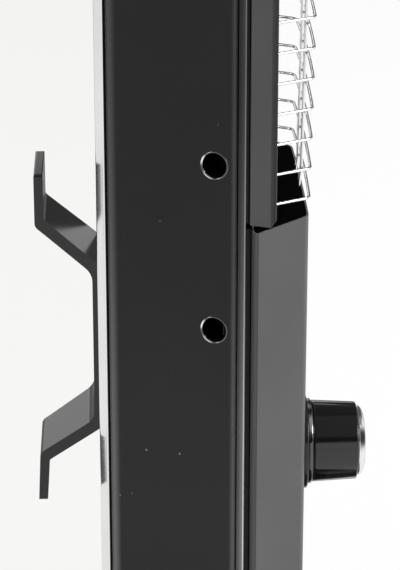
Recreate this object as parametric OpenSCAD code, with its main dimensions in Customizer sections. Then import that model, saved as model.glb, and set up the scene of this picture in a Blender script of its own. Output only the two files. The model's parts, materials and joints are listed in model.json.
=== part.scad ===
// Tower heater: a tall quartz lamp heater that stands on a round base.
// Millimetres, +Z up, front towards -Y, origin at the middle of the base on the floor.

/* [Heights] */
// Height of the base up to the seat of the tower foot
base_h = 46; // [40:1:60]
// Height of the foot between the base and the tower
foot_h = 14; // [10:1:24]
// Height of the lower front cover
lower_cover_h = 270; // [240:1:340]
// Height of the wire guard between the two front covers
guard_h = 458; // [400:1:560]
// Height of the upper front cover
upper_cover_h = 42; // [34:1:70]
// Height of the top cap
cap_h = 14; // [10:1:20]

/* [Tower plan] */
// Half width across the rear corners of the housing
rear_half_w = 44; // [40:0.5:50]
// Half width at the front edge of the housing
front_half_w = 70.5; // [68:0.5:74]
// Distance of the rear wall behind the centre
rear_y = 42.1; // [38:0.1:46]
// Distance of the housing's front edge before the centre
seam_y = 17.4; // [16:0.1:19]
// Radius of the housing's rear corners
rear_corner_r = 7.5; // [3:0.5:9]
// Sheet thickness of the housing
shell_t = 0.8; // [0.6:0.1:1.2]
// Thickness of the front chassis, whose edge shows as a strip
chassis_t = 3.3; // [2.5:0.1:4]
// Rise of the rear cover above the rear wall
rear_cover_rise = 4.9; // [4:0.1:8]
// Sheet thickness of the rear cover
rear_cover_t = 0.8; // [0.6:0.1:1.2]

/* [Side holes] */
// Radius of the bore in each side bush
hole_r = 5.6; // [4:0.1:7]
// Height between the two holes of a side
hole_gap = 80; // [60:1:100]
// Drop of the pair's middle below the top of the lower cover
hole_drop = 11.2; // [0:0.1:30]
// Distance of the holes before the centre
hole_y = 6.9; // [0:0.1:9]
// Depth of a side bush behind the panel
bush_len = 9; // [6:0.5:9.5]

/* [Front covers] */
// Half width of the covers at their widest
cover_half_w = 77.7; // [76.5:0.1:80]
// Half width of the covers' front face
face_half_w = 53.5; // [50:0.5:58]
// Distance of the covers' rear lip before the centre
lip_y = 23.8; // [23.4:0.1:24.6]
// Distance of the covers' front corners before the centre
face_y = 51.2; // [48:0.1:56]
// Bow of the covers' front face
face_bow = 0.8; // [0.4:0.1:1.6]
// Radius of the covers' front corners
face_corner_r = 8; // [3:0.5:9]
// Sheet thickness of the covers
cover_t = 0.9; // [0.6:0.1:1]
// Thickness of the sill mouldings
sill_t = 3; // [2:0.5:5]

/* [Side frames] */
// Half width of the side frames at their front bend
frame_half_w = 76.5; // [75:0.1:78]
// Half width of the side frames at their rear edge
frame_rear_half_w = 72.7; // [72:0.1:74]
// Distance of the side frames' rear face before the centre
frame_rear_y = 22.8; // [22.4:0.1:23.2]
// Distance of the side frames' front face before the centre
frame_front_y = 34.8; // [34:0.1:37]
// Sheet thickness of the side frames
frame_t = 1.2; // [0.8:0.1:1.4]
// Gap between a side frame's end and the cover next to it
frame_gap = 2.4; // [1:0.1:4]

/* [Wire guard] */
// Height between two wires
wire_pitch = 14.2; // [11:0.1:20]
// Radius of the level wires
wire_r = 0.7; // [0.6:0.05:1.1]
// Radius of the upright wires
upright_r = 0.8; // [0.7:0.05:1.1]
// Radius of the side bars that the wires are welded to
bar_r = 1.2; // [1:0.1:1.3]
// Height of the first wire above the lower cover
first_wire = 8.8; // [6:0.1:14]
// Distance of the guard's front wires before the centre, at its ends
guard_y = 51; // [50:0.1:53]
// Bow of the guard at mid height
guard_bow = 2.4; // [1:0.1:2.6]
// Half width between the guard's corners
guard_half_w = 53.5; // [50:0.5:56]
// Radius of the wires' corner bends
wire_bend_r = 4; // [2.5:0.5:8]
// Angle of the guard's sides from straight back
leg_angle = 28.6; // [26:0.1:30]
// Distance from the middle to the upright wire on each side
upright_x = 10.5; // [8:0.1:34]

/* [Lamps] */
// Depth of the reflector behind the centre
reflector_back = 20; // [10:0.5:28]
// Half width of the reflector's mouth
reflector_half_w = 65; // [62:0.5:65.5]
// Sheet thickness of the reflector
reflector_t = 0.6; // [0.4:0.1:0.8]
// Distance between the two quartz tubes
lamp_gap = 44; // [34:1:56]
// Radius of a quartz tube
tube_r = 6; // [4.5:0.5:7]
// Wall of a quartz tube
tube_wall = 1; // [0.8:0.1:1.5]
// Length of a lamp's ceramic end
lamp_end_len = 30; // [24:1:40]

/* [Control knob] */
// Drop of the knob's axis below the top of the lower cover
knob_drop = 138.3; // [100:0.1:160]
// Radius of the dial ring
dial_r = 23; // [21:0.5:27]
// Depth of the dial ring
dial_h = 6.4; // [5:0.1:12]
// Radius of the knob at its rear edge
knob_r = 19.8; // [18:0.1:20.5]
// Radius of the knob at its front edge
knob_front_r = 18.8; // [17.6:0.1:19]
// Depth of the knob
knob_h = 22.4; // [18:0.1:28]
// Depth of the knob's cap
knob_cap_h = 5.4; // [4:0.1:8]
// Radius of the switch shaft
shaft_r = 3; // [2.5:0.1:4]

/* [Cord bracket] */
// Drop of the bracket plate's top below the top of the lower cover
bracket_drop = 33.8; // [20:0.1:60]
// Height of the bracket plate
bracket_h = 86.3; // [70:0.1:110]
// Thickness of the bracket plate
plate_t = 2.4; // [2:0.1:4]
// Half width of the bracket at its plate
bracket_half_w = 22; // [18:0.5:30]
// Half width of the bracket at its tips
hook_half_w = 20; // [16:0.5:28]
// Reach of the hooks behind the plate's front face
hook_reach = 25; // [20:0.5:35]
// Thickness of the hooks' arms
arm_t = 5.6; // [4:0.1:7]
// Thickness of the hooks' tips
tip_t = 4.4; // [3:0.1:6]
// Radius of the hooks' corners, seen from behind
hook_corner_r = 5; // [3:0.5:9]
// Rise of the upper arm
upper_rise = 21.6; // [12:0.1:28]
// Length of the upper tip
upper_tip = 22.2; // [18:0.1:40]
// Fall of the lower arm
lower_fall = 17.4; // [10:0.1:26]
// Length of the lower tip
lower_tip = 22.2; // [14:0.1:34]

/* [Base] */
// Radius of the base
base_r = 135; // [125:1:160]
// Radius of the base's flat seat
seat_r = 87; // [85:1:92]
// Wall of the base cover
base_t = 2.5; // [2:0.1:3.5]
// Height of the rubber feet
rubber_h = 4; // [3:0.5:6]
// Thickness of the base plate
plate_base_t = 2; // [1.5:0.1:3]
// Radius of the base weight
weight_r = 78; // [60:1:80]
// Thickness of the base weight
weight_t = 10; // [6:1:14]
// Travel of the tip-over plunger
plunger_travel = 4; // [2:0.5:5]

/* [Hidden] */
$fn = 64;

// Clearances
fit = 0.1;
running = 0.05;
free = 0.35;
weld = 0.02;
bend_swell = 0.04;

// Levels
foot_z = base_h;
tower_z0 = foot_z + foot_h;
cover_top = tower_z0 + lower_cover_h;
guard_top = cover_top + guard_h;
tower_z1 = guard_top + upper_cover_h;
tower_h = tower_z1 - tower_z0;
guard_mid = cover_top + guard_h / 2;
knob_z = cover_top - knob_drop;

// Plane vectors
function unit(v) = v / norm(v);
function left(v) = [-v[1], v[0]];
function reversed(p) = [for (i = [len(p) - 1:-1:0]) p[i]];
function mirrored(p) = [for (i = [len(p) - 1:-1:0]) [-p[i][0], p[i][1]]];

// The corner b of a path a, b, c as an arc of radius r in steps
function corner(a, b, c, r, steps) =
    r <= 0 ? [b] :
    let (
        u = unit(a - b),
        v = unit(c - b),
        half = acos(u * v) / 2,
        centre = b + unit(u + v) * r / sin(half),
        p = b + u * r / tan(half) - centre,
        start = atan2(p[1], p[0]),
        turn = (180 - 2 * half) * sign(cross(b - a, c - b))
    )
    [for (k = [0:steps]) centre + r * [cos(start + turn * k / steps), sin(start + turn * k / steps)]];

// An open path, then a closed loop, with a radius at each point
function rounded(p, r, steps = 8) =
    [for (i = [0:len(p) - 1])
        each (i == 0 || i == len(p) - 1 ? [p[i]] : corner(p[i - 1], p[i], p[i + 1], r[i], steps))];
function rounded_loop(p, r, steps = 8) =
    let (n = len(p))
    [for (i = [0:n - 1]) each corner(p[(i + n - 1) % n], p[i], p[(i + 1) % n], r[i], steps)];

// Point b between directions u and v, moved to the left by t
function mitre(b, u, v, t) = b + (left(u) + left(v)) * t / (1 + left(u) * left(v));

// An open path moved to its left by t, and the thin section between the two
function shifted(p, t) =
    let (n = len(p))
    [for (i = [0:n - 1])
        let (a = max(i, 1), c = min(i, n - 2))
        mitre(p[i], unit(p[a] - p[a - 1]), unit(p[c + 1] - p[c]), t)];
function sheet(p, t) = concat(p, reversed(shifted(p, t)));

// A closed loop, drawn anticlockwise, moved inwards by t
function inset(p, t) =
    let (n = len(p))
    [for (i = [0:n - 1])
        mitre(p[i], unit(p[i] - p[(i + n - 1) % n]), unit(p[(i + 1) % n] - p[i]), t)];

// Half width of the flared sides at a distance y before the centre
flare = (front_half_w - rear_half_w) / (rear_y + seam_y);
function side_x(y) = rear_half_w + (rear_y + y) * flare;

// Housing and rear cover
shell_flange = 6.5;
shell_front_r = 2;
chassis_rear_y = seam_y + 0.2;
chassis_front_y = chassis_rear_y + chassis_t;
housing_path = rounded(
    [
        [front_half_w - shell_flange, -seam_y], [front_half_w, -seam_y],
        [rear_half_w, rear_y], [-rear_half_w, rear_y],
        [-front_half_w, -seam_y], [-front_half_w + shell_flange, -seam_y]
    ],
    [0, shell_front_r, rear_corner_r, rear_corner_r, shell_front_r, 0]);
crown_y = rear_y + rear_cover_rise;
crown_half_w = rear_half_w - 9;
rear_cover_half_w = rear_half_w - 2;
rear_cover_edge_y = rear_y + rear_cover_t + fit;
rear_cover_path = rounded(
    [
        [rear_cover_half_w, rear_cover_edge_y], [crown_half_w, crown_y],
        [-crown_half_w, crown_y], [-rear_cover_half_w, rear_cover_edge_y]
    ],
    [0, 3, 3, 0]);

// Front covers: a bent sheet with a lip, slanted sides and a bowed face
lip_half_w = cover_half_w - 2.9;
lip_end = 65;
crease_y = lip_y + 2.5;
face_bow_r = 3000;
cover_side = [[-cover_half_w, -crease_y], [-face_half_w, -face_y], [0, -face_y - face_bow]];
cover_path = rounded(
    concat(
        [[-lip_end, -lip_y], [-lip_half_w, -lip_y], [-cover_half_w, -lip_y - 1.4]],
        cover_side,
        mirrored([cover_side[0], cover_side[1]]),
        [[cover_half_w, -lip_y - 1.4], [lip_half_w, -lip_y], [lip_end, -lip_y]]),
    [0, 0, 0, 0, face_corner_r, face_bow_r, face_corner_r, 0, 0, 0, 0]);
cover_slope = (cover_half_w - face_half_w) / (face_y - crease_y);
function cover_x(y) = cover_half_w - (y - crease_y) * cover_slope;
face_front_y = face_y + face_bow * 0.6;

// Sills: the inside of a cover, from just before its lip forwards
sill_side_y = crease_y + 1.7;
sill_side = [[-cover_x(sill_side_y), -sill_side_y], [-face_half_w, -face_y], [0, -face_y - face_bow]];
sill_rear = [lip_half_w - 1.6, -lip_y - cover_t - 0.6];
sill_loop = concat(
    [[-sill_rear[0], sill_rear[1]]],
    shifted(
        rounded(concat(sill_side, mirrored([sill_side[0], sill_side[1]])),
            [0, face_corner_r, face_bow_r, face_corner_r, 0]),
        cover_t + 0.3),
    [sill_rear]);
sill_drop = 0.5;

// Side frames
frame_end_x = 66.2;
band_w = 2.6;
band_lean = 0.6;
frame_path = rounded(
    [
        [frame_end_x, -frame_front_y], [frame_half_w - band_lean, -frame_front_y],
        [frame_half_w, -frame_front_y + band_w],
        [frame_rear_half_w, -frame_rear_y], [frame_end_x, -frame_rear_y]
    ],
    [0, 1.3, 1.5, 1.5, 0]);
frame_z0 = cover_top + frame_gap;
frame_z1 = guard_top - frame_gap;
chamfer_h = 3.3;
chamfer_d = 2.5;

// Wire guard: the bow is an arc of a large circle in the upright plane
bow_r = (pow(guard_h / 2, 2) + pow(guard_bow, 2)) / (2 * guard_bow);
function bow(z) = sqrt(pow(bow_r, 2) - pow(z - guard_mid, 2)) - bow_r + guard_bow;
wire_count = floor((guard_h - 2 * first_wire) / wire_pitch) + 1;
leg_end_y = 27;
leg_dir = [sin(leg_angle), cos(leg_angle)];
function leg_point(y) = [guard_half_w + (guard_y - y) * tan(leg_angle), -y];
function beside_leg(y, side) = leg_point(y) + left(leg_dir) * side;
wire_path = [
    [-leg_point(leg_end_y)[0], -leg_end_y], [-guard_half_w, -guard_y],
    [guard_half_w, -guard_y], leg_point(leg_end_y)
];
upright_in = wire_r + upright_r + weld;
uprights = [for (x = [-upright_x, upright_x]) [x, -guard_y + upright_in]];
bar_place = beside_leg(28.6, -(wire_r + bar_r + weld));
side_bars = [bar_place, [-bar_place[0], bar_place[1]]];
rod_end = 5;
rod_run = guard_h / 2 + rod_end;

// Lamps and reflector
reflector_y = frame_rear_y + frame_t + fit;
reflector_edge = frame_half_w - 5.7;
reflector_steps = 20;
reflector_curve = [
    for (k = [0:reflector_steps])
        let (x = reflector_half_w * (1 - 2 * k / reflector_steps))
        [x, reflector_back - (reflector_back + reflector_y) * pow(x / reflector_half_w, 2)]
];
reflector_path = concat([[reflector_edge, -reflector_y]], reflector_curve, [[-reflector_edge, -reflector_y]]);
lamp_plate_t = 1.2;
lamp_plate_front = frame_front_y - frame_t - 0.4;
lamp_plate_x = reflector_half_w - 1.6;
lamp_plate_loop = concat(
    [[-lamp_plate_x, -lamp_plate_front], [lamp_plate_x, -lamp_plate_front]],
    shifted(reflector_curve, reflector_t + 0.3));
lamp_plate_z0 = cover_top + 0.3;
lamp_plate_z1 = guard_top - 0.3 - lamp_plate_t;
reflector_z0 = lamp_plate_z0 + fit;
reflector_z1 = lamp_plate_z1 + lamp_plate_t - fit;
lamp_y = 4;
lamp_end_w = 15;
lamp_end_d = 10;
lamp_end_out = 9;
tube_z0 = lamp_plate_z0 - lamp_end_out + lamp_end_len;
tube_z1 = lamp_plate_z1 + lamp_plate_t + lamp_end_out - lamp_end_len;
tube_seat = 8;

// Switch and knob, as distances before the centre
switch_front = face_front_y - cover_t - 0.4;
switch_d = 22;
switch_w = 30;
bushing_r = shaft_r + 2;
bushing_end = face_front_y + 4.2;
dial_rear = face_front_y + 0.1;
knob_rear = dial_rear + dial_h + free;
knob_hub_r = shaft_r + 3.5;
hub_rear = bushing_end + free - knob_rear;
knob_wall = 2.5;
shaft_end = knob_rear + 15;

// Cord bracket
bracket_y = crown_y + fit;
bracket_z1 = cover_top - bracket_drop;
bracket_z0 = bracket_z1 - bracket_h;
upper_slope = upper_rise / hook_reach;
lower_slope = lower_fall / hook_reach;
upper_arm_v = arm_t * sqrt(1 + pow(upper_slope, 2));
lower_arm_v = arm_t * sqrt(1 + pow(lower_slope, 2));
bracket_screw_r = 1.9;
bracket_screw_head = 3.8;
bracket_screw_len = 13;
rear_screw_len = 10;
rear_screw_head = 3.6;
pan_h = 2;
bracket_screws_z = [bracket_z0 + 25.1, bracket_z0 + 61.1];
hook_tip_z0 = bracket_z0 - lower_fall - lower_tip;
hook_tip_z1 = bracket_z1 + upper_rise + upper_tip;

// Rear fixings
rear_screws_z = [tower_z0 + 14, tower_z1 - 14];
inlet_z = tower_z0 + 40;
inlet_bore_r = 4;
inlet_r = 7;

// Base
base_bottom = rubber_h;
base_path = rounded(
    [[50, base_h], [seat_r, base_h], [seat_r + 2.5, base_h - 7], [base_r - 6, 18.5], [base_r, 13], [base_r, base_bottom]],
    [0, 2, 3, 20, 5, 0]);
plate_r = base_r - base_t - 0.3;
plate_top = base_bottom + plate_base_t;
post_ring = base_r - 27;
foot_ring = base_r - 23;
pad_r = 11.5;
pad_tip_r = 10;
pad_recess_r = 4;
foot_rise = 12;
foot_rise_front = 12;
foot_rise_rear = 34;
foot_rise_inset = 3;
foot_bore_r = 15;
foot_screw_x = 30;
foot_screw_y = 25;
screw_r = 2;
base_screw_len = 16;
base_screw_head = 3.8;
foot_screw_len = 13;
foot_screw_head = 4;
foot_outline = inset(
    concat(
        [[crown_half_w + 1, crown_y + 1], [-crown_half_w - 1, crown_y + 1], [-rear_half_w - 1, rear_y]],
        [[-front_half_w, -seam_y], [-cover_half_w + 1.2, -crease_y + 0.8], [-face_half_w, -face_y]],
        [[0, -face_y - face_bow]],
        [[face_half_w, -face_y], [cover_half_w - 1.2, -crease_y + 0.8], [front_half_w, -seam_y]],
        [[rear_half_w + 1, rear_y]]),
    1);

// Tip-over switch
tip_y = max(base_r - 47, weight_r + 10);
plunger_r = 4;
stem_r = 2.6;
collar_r = 6.2;
collar_z = plate_top + plunger_travel + free;
collar_t = 1.6;
tip_box_z = collar_z + collar_t + 7;
tip_box_h = 10;
spring_r = 4.6;
spring_wire_r = 0.45;
spring_turns = 5;

// A solid that points along +Y, -Y or along X instead of +Z
module backwards(y, z) {
    translate([0, y, z]) rotate([-90, 0, 0]) children();
}
module forwards(y, z) {
    translate([0, -y, z]) rotate([90, 0, 0]) children();
}
module across(w) {
    rotate([90, 0, 90]) linear_extrude(w, center = true) children();
}

// A pan head screw: its head stands above zero and its shank goes down
module pan_screw(r, len, head_r, head_h) {
    cylinder(r = head_r, h = head_h);
    translate([0, 0, -len]) cylinder(r = r, h = len);
}

// A round rod bent in the level plane, through the points of a path.
// A bend is a hair thicker than the straights, which end just inside it.
module bent_rod(p, r, bend) {
    n = len(p);
    lap = 0.3;
    lap_angle = 2;
    function set_back(i) =
        i == 0 || i == n - 1 ? 0 :
        bend / tan(acos(unit(p[i - 1] - p[i]) * unit(p[i + 1] - p[i])) / 2) - lap;
    for (i = [0:n - 2]) {
        dir = unit(p[i + 1] - p[i]);
        a = p[i] + dir * set_back(i);
        b = p[i + 1] - dir * set_back(i + 1);
        translate([a[0], a[1], 0]) rotate([0, 0, atan2(dir[1], dir[0])]) rotate([0, 90, 0])
            cylinder(r = r, h = norm(b - a));
    }
    for (i = [1:n - 2]) {
        u = unit(p[i - 1] - p[i]);
        v = unit(p[i + 1] - p[i]);
        half = acos(u * v) / 2;
        centre = p[i] + unit(u + v) * bend / sin(half);
        first = cross(p[i] - p[i - 1], p[i + 1] - p[i]) > 0 ? u : v;
        start = p[i] + first * bend / tan(half) - centre;
        translate([centre[0], centre[1], 0]) rotate([0, 0, atan2(start[1], start[0]) - lap_angle])
            rotate_extrude(angle = 180 - 2 * half + 2 * lap_angle)
                translate([bend, 0]) circle(r = r + bend_swell);
    }
}

// An upright rod that follows the bow of the guard
module bowed_rod(place, r) {
    half = asin(rod_run / bow_r);
    translate([place[0], place[1] + bow_r - guard_bow, guard_mid]) rotate([90, 0, 90])
        rotate([0, 0, 180 - half])
            rotate_extrude(angle = 2 * half, $fn = 3600) translate([bow_r, 0]) circle(r = r, $fn = 32);
}

// Base
module base_cover() {
    color("#1b1b1d")
    difference() {
        union() {
            rotate_extrude($fn = 128) polygon(sheet(base_path, -base_t));
            intersection() {
                rotate_extrude($fn = 128) polygon(concat([[0, 0], [0, base_h]], base_path, [[base_r, 0]]));
                for (a = [45:90:315]) rotate([0, 0, a]) translate([post_ring, 0, plate_top + fit])
                    cylinder(r = 5, h = base_h);
            }
        }
        for (a = [45:90:315]) rotate([0, 0, a]) translate([post_ring, 0, 0])
            cylinder(r = screw_r + running, h = 21);
        for (x = [-1, 1], y = [-1, 1]) translate([x * foot_screw_x, y * foot_screw_y, 0])
            cylinder(r = screw_r + fit, h = base_h + 1);
    }
}

module base_plate() {
    color("#2a2a2c")
    difference() {
        translate([0, 0, base_bottom]) cylinder(r = plate_r, h = plate_base_t, $fn = 128);
        for (a = [45:90:315]) rotate([0, 0, a]) translate([post_ring, 0, 0])
            cylinder(r = screw_r + fit, h = plate_top + 1);
        translate([0, tip_y, 0]) cylinder(r = plunger_r + free, h = plate_top + 1);
    }
}

module base_weight() {
    color("#4a4a4a")
    translate([0, 0, plate_top + fit])
        difference() {
            cylinder(r = weight_r, h = weight_t, $fn = 96);
            translate([0, 0, -1]) cylinder(r = 35, h = weight_t + 2);
        }
}

module base_feet() {
    color("#101010")
    for (a = [0:60:300]) rotate([0, 0, a]) translate([foot_ring, 0, 0])
        difference() {
            cylinder(r1 = pad_tip_r, r2 = pad_r, h = rubber_h - weld);
            translate([0, 0, -1]) cylinder(r = pad_recess_r, h = 2);
        }
}

module base_screws() {
    color("#8c8c8c")
    for (a = [45:90:315]) rotate([0, 0, a]) translate([post_ring, 0, base_bottom - fit]) rotate([180, 0, 0])
        pan_screw(screw_r, base_screw_len, base_screw_head, pan_h);
}

// Tip-over switch in the base
module tip_switch() {
    color("#d8d4c8")
    translate([0, tip_y, 0])
        difference() {
            union() {
                translate([-12, -7, tip_box_z]) cube([24, 14, tip_box_h]);
                for (x = [-12, 9]) translate([x, -7, plate_top + fit]) cube([3, 14, tip_box_z - plate_top]);
            }
            translate([0, 0, tip_box_z - 1]) cylinder(r = stem_r + free, h = 8);
        }
}

module tip_plunger() {
    color("#e8e8e8")
    translate([0, tip_y, 0]) {
        translate([0, 0, 0.2]) cylinder(r = plunger_r, h = collar_z - 0.1);
        translate([0, 0, collar_z]) cylinder(r = collar_r, h = collar_t);
        translate([0, 0, collar_z + collar_t - 0.1]) cylinder(r = stem_r, h = 11);
    }
}

// The spring's wire follows a helix as one closed tube of square rings
module tip_spring() {
    sides = 8;
    rings = 16 * spring_turns;
    z0 = collar_z + collar_t + spring_wire_r + weld;
    rise = tip_box_z - collar_z - collar_t - 2 * spring_wire_r - 2 * weld;
    points = [
        for (k = [0:rings], j = [0:sides - 1])
            let (
                a = 360 * spring_turns * k / rings,
                b = 360 * j / sides,
                r = spring_r + spring_wire_r * cos(b)
            )
            [r * cos(a), r * sin(a), z0 + rise * k / rings + spring_wire_r * sin(b)]
    ];
    walls = [
        for (k = [0:rings - 1], j = [0:sides - 1])
            let (a = k * sides, b = a + sides, next = (j + 1) % sides)
            each [[a + j, b + j, b + next], [a + j, b + next, a + next]]
    ];
    ends = [[for (j = [0:sides - 1]) j], [for (j = [sides - 1:-1:0]) rings * sides + j]];
    color("#b0b0b0")
    translate([0, tip_y, 0]) polyhedron(points, concat(walls, ends), convexity = 10);
}

// Foot between the base and the tower
module tower_foot() {
    color("#18181a")
    difference() {
        union() {
            translate([0, 0, foot_z + weld]) linear_extrude(foot_h - 2 * weld) polygon(foot_outline);
            translate([0, 0, tower_z0 - 1]) linear_extrude(foot_rise + 1)
                polygon([
                    [foot_rise_inset - side_x(foot_rise_front), -foot_rise_front],
                    [side_x(foot_rise_front) - foot_rise_inset, -foot_rise_front],
                    [side_x(-foot_rise_rear) - foot_rise_inset, foot_rise_rear],
                    [foot_rise_inset - side_x(-foot_rise_rear), foot_rise_rear]
                ]);
        }
        translate([0, 0, foot_z - 1]) cylinder(r = foot_bore_r, h = foot_h + foot_rise + 4);
        for (x = [-1, 1], y = [-1, 1]) translate([x * foot_screw_x, y * foot_screw_y, foot_z - 1])
            cylinder(r = screw_r + running, h = foot_h);
    }
}

module foot_screws() {
    color("#8c8c8c")
    for (x = [-1, 1], y = [-1, 1])
        translate([x * foot_screw_x, y * foot_screw_y, base_h - base_t - fit]) rotate([180, 0, 0])
            pan_screw(screw_r, foot_screw_len, foot_screw_head, pan_h + 0.4);
}

// A solid at each side hole, square to its panel and outwards from the panel's surface
module at_side_holes() {
    tilt = atan(flare);
    for (s = [-1, 1], k = [-0.5, 0.5])
        translate([s * side_x(hole_y), -hole_y, cover_top - hole_drop + k * hole_gap])
            rotate([0, 0, s * tilt]) rotate([0, s * 90, 0])
                children();
}

module housing_shell() {
    color("#232325")
    difference() {
        translate([0, 0, tower_z0]) linear_extrude(tower_h) polygon(sheet(housing_path, shell_t));
        at_side_holes() translate([0, 0, -3]) cylinder(r = hole_r + 0.5, h = 6);
        for (z = concat(bracket_screws_z, rear_screws_z)) backwards(rear_y - 3, z)
            cylinder(r = bracket_screw_r + fit, h = 6);
        backwards(rear_y - 3, inlet_z) cylinder(r = inlet_r + fit, h = 6);
    }
}

// Bushes behind the side holes, with a collar inside and a bevelled mouth
module side_bushes() {
    collar_w = 3.4;
    collar_h = 1.8;
    bush_wall = 1.3;
    neck_wall = 0.4;
    color("#141414")
    at_side_holes()
        difference() {
            union() {
                translate([0, 0, -shell_t - weld - collar_h]) cylinder(r = hole_r + collar_w, h = collar_h);
                translate([0, 0, -bush_len]) cylinder(r = hole_r + bush_wall, h = bush_len - shell_t - weld);
                translate([0, 0, -bush_len]) cylinder(r = hole_r + neck_wall, h = bush_len - fit);
            }
            translate([0, 0, -bush_len - 1]) cylinder(r = hole_r, h = bush_len + 2);
        }
}

module rear_cover() {
    color("#c9c9c9")
    difference() {
        translate([0, 0, tower_z0 + 1]) linear_extrude(tower_h - 2)
            polygon(sheet(rear_cover_path, rear_cover_t));
        for (z = concat(bracket_screws_z, rear_screws_z)) backwards(crown_y - 3, z)
            cylinder(r = bracket_screw_r + fit, h = 6);
        backwards(crown_y - 3, inlet_z) cylinder(r = inlet_r + fit, h = 6);
    }
}

module rear_spacers() {
    color("#303030")
    for (z = concat(bracket_screws_z, rear_screws_z)) backwards(rear_y + weld, z)
        difference() {
            cylinder(r = 4.5, h = rear_cover_rise - rear_cover_t - 2 * weld);
            translate([0, 0, -1]) cylinder(r = bracket_screw_r + fit, h = rear_cover_rise + 2);
        }
}

module rear_screws() {
    color("#8c8c8c")
    for (z = rear_screws_z) backwards(crown_y + weld, z)
        pan_screw(bracket_screw_r, rear_screw_len, rear_screw_head, pan_h);
}

// Bush where the cord comes out of the tower
module cord_bush() {
    color("#161616")
    backwards(0, inlet_z)
        rotate_extrude()
            polygon([
                [inlet_bore_r, rear_y - 6], [inlet_r + 2, rear_y - 6], [inlet_r + 2, rear_y - 2],
                [inlet_r, rear_y - 2], [inlet_r, crown_y + fit], [inlet_r + 3, crown_y + fit],
                [inlet_r + 3, crown_y + 2], [inlet_r + 2, crown_y + 3], [inlet_r, crown_y + 3],
                [inlet_r - 1.2, crown_y + 9], [inlet_bore_r, crown_y + 9]
            ]);
}

// Cord bracket: one bent moulding, with a hook that points up and one that points down
function bracket_loop() =
    let (
        y0 = bracket_y,
        y1 = bracket_y + plate_t,
        yi = bracket_y + hook_reach,
        yo = yi + tip_t,
        lean = 1.2
    )
    rounded_loop(
        [
            [y0, bracket_z0], [y0, bracket_z1],
            [yi, bracket_z1 + upper_rise], [yi, hook_tip_z1], [yo, hook_tip_z1],
            [yo, bracket_z1 + (yo - y0) * upper_slope - upper_arm_v],
            [y1, bracket_z1 + (y1 - y0) * upper_slope - upper_arm_v],
            [y1, bracket_z0 - (y1 - y0) * lower_slope + lower_arm_v],
            [yo, bracket_z0 - (yo - y0) * lower_slope + lower_arm_v],
            [yo + lean, hook_tip_z0], [yi + lean, hook_tip_z0], [yi, bracket_z0 - lower_fall]
        ],
        [0.8, 0.8, 2.5, 1, 1, 4, 9, 9, 4, 1, 1, 2.5],
        5);

module cord_bracket() {
    color("#1a1a1c")
    difference() {
        intersection() {
            across(2 * bracket_half_w) polygon(bracket_loop());
            translate([0, 0, hook_tip_z0 - 1]) linear_extrude(hook_tip_z1 - hook_tip_z0 + 2)
                polygon([
                    [-bracket_half_w, bracket_y - 1], [bracket_half_w, bracket_y - 1],
                    [bracket_half_w, bracket_y + plate_t], [hook_half_w, bracket_y + hook_reach],
                    [hook_half_w, bracket_y + hook_reach + 10], [-hook_half_w, bracket_y + hook_reach + 10],
                    [-hook_half_w, bracket_y + hook_reach], [-bracket_half_w, bracket_y + plate_t]
                ]);
            translate([0, bracket_y - 1, 0]) rotate([90, 0, 0]) translate([0, 0, -hook_reach - 12])
                linear_extrude(hook_reach + 12)
                    polygon(rounded_loop(
                        [
                            [-bracket_half_w, hook_tip_z0], [bracket_half_w, hook_tip_z0],
                            [bracket_half_w, hook_tip_z1], [-bracket_half_w, hook_tip_z1]
                        ],
                        [hook_corner_r, hook_corner_r, hook_corner_r, hook_corner_r]));
        }
        for (z = bracket_screws_z) {
            backwards(bracket_y - 1, z) cylinder(r = bracket_screw_r + fit, h = plate_t + 2);
            backwards(bracket_y + plate_t - 1.9, z)
                cylinder(r1 = bracket_screw_r + fit, r2 = bracket_screw_head + fit, h = 1.9);
            backwards(bracket_y + plate_t, z) cylinder(r = bracket_screw_head + fit, h = 2);
        }
    }
}

module bracket_screws() {
    color("#3a3a3a")
    for (z = bracket_screws_z) backwards(bracket_y + plate_t, z) {
        translate([0, 0, -1.9]) cylinder(r1 = bracket_screw_r, r2 = bracket_screw_head, h = 1.9);
        translate([0, 0, -bracket_screw_len - 1]) cylinder(r = bracket_screw_r, h = bracket_screw_len);
    }
}

// Front chassis: a plate across the housing's mouth, with ribs that carry what is before it
module front_chassis() {
    rib_in = 66.2;
    rib_out = 70.4;
    color("#5a5a5c")
    union() {
        difference() {
            translate([0, 0, tower_z0]) linear_extrude(tower_h)
                polygon([
                    [side_x(chassis_rear_y), -chassis_rear_y], [-side_x(chassis_rear_y), -chassis_rear_y],
                    [-side_x(chassis_front_y), -chassis_front_y], [side_x(chassis_front_y), -chassis_front_y]
                ]);
            translate([-reflector_half_w, -chassis_front_y - 1, cover_top - 6])
                cube([2 * reflector_half_w, chassis_t + 2, guard_h + 12]);
            translate([-20, -chassis_front_y - 1, cover_top - 60]) cube([40, chassis_t + 2, 30]);
        }
        for (s = [0, 1]) mirror([s, 0, 0]) {
            for (z = [[tower_z0, cover_top], [guard_top, tower_z1]])
                translate([rib_in, -lip_y + fit, z[0]])
                    cube([rib_out - rib_in, lip_y - fit - chassis_front_y, z[1] - z[0]]);
            translate([rib_in, -frame_rear_y + fit, frame_z0])
                cube([rib_out - rib_in, frame_rear_y - fit - chassis_front_y, frame_z1 - frame_z0]);
        }
    }
}

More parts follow.
